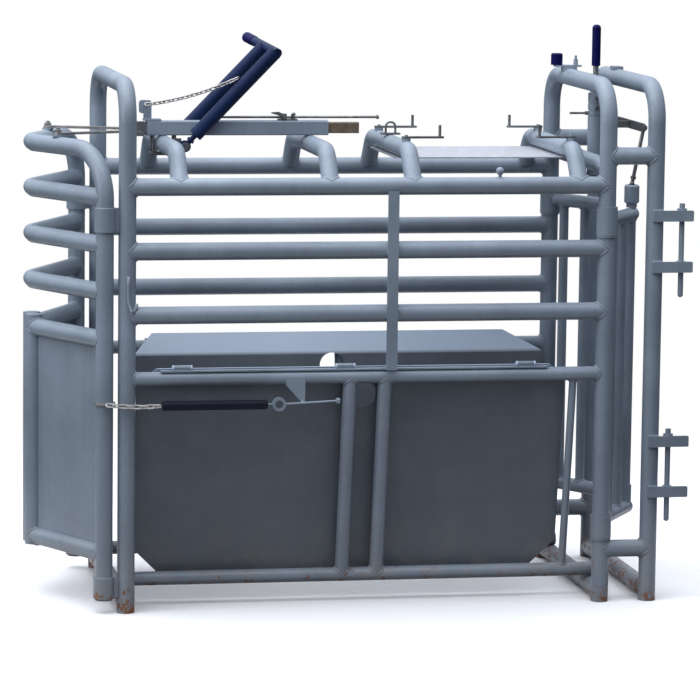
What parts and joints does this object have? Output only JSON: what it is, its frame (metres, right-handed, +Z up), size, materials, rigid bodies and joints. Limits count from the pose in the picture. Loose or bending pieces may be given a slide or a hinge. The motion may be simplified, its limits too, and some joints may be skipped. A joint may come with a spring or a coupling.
{
  "type": "cattle squeeze chute",
  "caption": "Welded pipe cattle squeeze chute with V tail gate, side squeeze panels, overhead slide and lever, and a swinging head gate.",
  "frame": {"origin": "on the ground, under the centre of the overall box", "axes": "+X from the tail gate to the head gate, +Y away from the operator's side, +Z up"},
  "size_m": [2.2766, 0.9409, 1.994],
  "materials": {
    "blue_grey_paint": "satin enamel",
    "navy_paint": "gloss enamel",
    "navy_grip": "moulded",
    "zinc": "zinc plated",
    "bare_steel": "bare, lightly rusted"
  },
  "bodies": {
    "frame": {"rear_hoop": "blue_grey_paint", "head_hoop": "blue_grey_paint", "front_hoop": "blue_grey_paint", "head_crossbar": "blue_grey_paint", "base_crossbars": "blue_grey_paint", "hoop_ties": "blue_grey_paint", "near_side_rails": "blue_grey_paint", "far_side_rails": "blue_grey_paint", "lower_rails": "blue_grey_paint", "side_struts": "blue_grey_paint", "roof_bows": "blue_grey_paint", "roof_plate": "blue_grey_paint", "tail_hinge_sleeves": "blue_grey_paint", "slide_beam": "blue_grey_paint", "lever_bracket": "blue_grey_paint", "chain_plate": "blue_grey_paint", "latch_brackets": "blue_grey_paint", "stop_pivots": "blue_grey_paint", "panel_hinge_strips": "blue_grey_paint", "lock_housing": "blue_grey_paint", "latch_saddle": "blue_grey_paint", "front_lugs": "blue_grey_paint", "window_bar": "blue_grey_paint", "rail_peg": "blue_grey_paint", "tie_rod": "zinc", "tie_grip": "navy_grip", "tie_chain": "zinc"},
    "near_tail_gate": {"near_tail_post": "blue_grey_paint", "near_tail_frame": "blue_grey_paint", "near_tail_sheet": "blue_grey_paint"},
    "far_tail_gate": {"far_tail_post": "blue_grey_paint", "far_tail_frame": "blue_grey_paint", "far_tail_sheet": "blue_grey_paint"},
    "slide": {"slide_bar": "bare_steel", "slide_head": "blue_grey_paint"},
    "near_arm": {"near_gate_arm": "blue_grey_paint"},
    "far_arm": {"far_gate_arm": "blue_grey_paint"},
    "tail_lever": {"lever_tubes": "navy_paint", "lever_handle": "navy_paint", "lever_grip": "navy_grip", "lever_chain": "zinc"},
    "latch_rod_body": {"latch_rod": "zinc"},
    "latch_hook_body": {"latch_hook": "zinc"},
    "near_door": {"near_head_door": "blue_grey_paint"},
    "far_door": {"far_head_door": "blue_grey_paint"},
    "head_lever": {"head_lever_shaft": "zinc", "head_lever_grip": "navy_grip", "crosshead": "blue_grey_paint"},
    "near_drop": {"near_drop_rod": "zinc"},
    "far_drop": {"far_drop_rod": "zinc"},
    "near_panel": {"near_squeeze_panel": "blue_grey_paint"},
    "far_panel": {"far_squeeze_panel": "blue_grey_paint"},
    "stop_1": {"stop_bar_1": "zinc"},
    "stop_2": {"stop_bar_2": "zinc"},
    "stop_3": {"stop_bar_3": "zinc"},
    "stop_4": {"stop_bar_4": "zinc"},
    "upper_pin": {"upper_drop_pin": "zinc"},
    "lower_pin": {"lower_drop_pin": "zinc"},
    "knob": {"latch_knob": "navy_grip"},
    "trip": {"trip_rod": "zinc"}
  },
  "joints": [
    {"name": "near_tail_gate_swing", "type": "hinge", "parent": "frame", "child": "near_tail_gate", "pos_m": [-0.90766, -0.405, 0.8], "axis": [0, 0, 1], "range_deg": [0, 46]},
    {"name": "far_tail_gate_swing", "type": "hinge", "parent": "frame", "child": "far_tail_gate", "pos_m": [-0.90766, 0.435, 0.8], "axis": [0, 0, 1], "range_deg": [-46, 0]},
    {"name": "slide_travel", "type": "slide", "parent": "frame", "child": "slide", "axis": [1, 0, 0], "range_m": [-0.3074, 0.002]},
    {"name": "near_arm_swing", "type": "hinge", "parent": "slide", "child": "near_arm", "pos_m": [-0.75466, -0.045, 1.627], "axis": [0, 0, 1], "range_deg": [-0.5, 46.44]},
    {"name": "far_arm_swing", "type": "hinge", "parent": "slide", "child": "far_arm", "pos_m": [-0.75466, 0.075, 1.627], "axis": [0, 0, 1], "range_deg": [-46.44, 0.5]},
    {"name": "tail_lever_pull", "type": "hinge", "parent": "frame", "child": "tail_lever", "pos_m": [-0.58466, -0.036, 1.569], "axis": [0, 1, 0], "range_deg": [-40.5, 0]},
    {"name": "latch_rod_slide", "type": "slide", "parent": "frame", "child": "latch_rod_body", "axis": [1, 0, 0], "range_m": [-0.06, 0.03]},
    {"name": "latch_hook_tilt", "type": "hinge", "parent": "frame", "child": "latch_hook_body", "pos_m": [-0.22866, 0.003, 1.66915], "axis": [0, 1, 0], "range_deg": [0, 35]},
    {"name": "near_head_door_swing", "type": "hinge", "parent": "frame", "child": "near_door", "pos_m": [0.83834, -0.405, 0.8], "axis": [0, 0, 1], "range_deg": [0, 20]},
    {"name": "far_head_door_swing", "type": "hinge", "parent": "frame", "child": "far_door", "pos_m": [0.83834, 0.435, 0.8], "axis": [0, 0, 1], "range_deg": [-20, 0]},
    {"name": "head_lever_travel", "type": "slide", "parent": "frame", "child": "head_lever", "axis": [0, 0, 1], "range_m": [-0.0499, 0.001]},
    {"name": "near_drop_rod_swing", "type": "hinge", "parent": "head_lever", "child": "near_drop", "pos_m": [1.02334, -0.175, 1.64], "axis": [0.3479, 0.9375, 0], "range_deg": [-0.5, 32.42]},
    {"name": "far_drop_rod_swing", "type": "hinge", "parent": "head_lever", "child": "far_drop", "pos_m": [1.02334, 0.205, 1.64], "axis": [-0.3479, 0.9375, 0], "range_deg": [-0.5, 32.42]},
    {"name": "near_panel_squeeze", "type": "hinge", "parent": "frame", "child": "near_panel", "pos_m": [0, -0.407, 0.84325], "axis": [1, 0, 0], "range_deg": [0, 12]},
    {"name": "far_panel_squeeze", "type": "hinge", "parent": "frame", "child": "far_panel", "pos_m": [0, 0.437, 0.84325], "axis": [1, 0, 0], "range_deg": [-12, 0]},
    {"name": "stop_1_swing", "type": "hinge", "parent": "frame", "child": "stop_1", "pos_m": [0.15534, -0.26, 1.61615], "axis": [0, 0, 1], "range_deg": [-60, 60]},
    {"name": "stop_2_swing", "type": "hinge", "parent": "frame", "child": "stop_2", "pos_m": [0.15534, 0.235, 1.61615], "axis": [0, 0, 1], "range_deg": [-60, 60]},
    {"name": "stop_3_swing", "type": "hinge", "parent": "frame", "child": "stop_3", "pos_m": [0.73934, -0.26, 1.61615], "axis": [0, 0, 1], "range_deg": [-60, 60]},
    {"name": "stop_4_swing", "type": "hinge", "parent": "frame", "child": "stop_4", "pos_m": [0.73934, 0.235, 1.61615], "axis": [0, 0, 1], "range_deg": [-60, 60]},
    {"name": "upper_pin_lift", "type": "slide", "parent": "frame", "child": "upper_pin", "axis": [0, 0, 1], "range_m": [0, 0.33]},
    {"name": "lower_pin_lift", "type": "slide", "parent": "frame", "child": "lower_pin", "axis": [0, 0, 1], "range_m": [0, 0.33]},
    {"name": "knob_turn", "type": "hinge", "parent": "frame", "child": "knob", "pos_m": [0.79234, 0.185, 1.859], "axis": [0, 0, 1], "range_deg": [0, 90]},
    {"name": "trip_rod_pull", "type": "slide", "parent": "frame", "child": "trip", "axis": [1, 0, 0], "range_m": [-0.015, 0]}
  ],
  "couplings": [
    {"joint": "far_tail_gate_swing", "follows": "near_tail_gate_swing", "ratio": -1},
    {"joint": "slide_travel", "follows": "near_tail_gate_swing", "m_per_rad": -0.38035},
    {"joint": "near_arm_swing", "follows": "near_tail_gate_swing", "ratio": 0.9986},
    {"joint": "far_arm_swing", "follows": "near_tail_gate_swing", "ratio": -0.9986},
    {"joint": "tail_lever_pull", "follows": "near_tail_gate_swing", "ratio": -0.86957},
    {"joint": "far_head_door_swing", "follows": "near_head_door_swing", "ratio": -1},
    {"joint": "head_lever_travel", "follows": "near_head_door_swing", "m_per_rad": -0.14012},
    {"joint": "near_drop_rod_swing", "follows": "near_head_door_swing", "ratio": 1.5962},
    {"joint": "far_drop_rod_swing", "follows": "near_head_door_swing", "ratio": 1.5962}
  ]
}
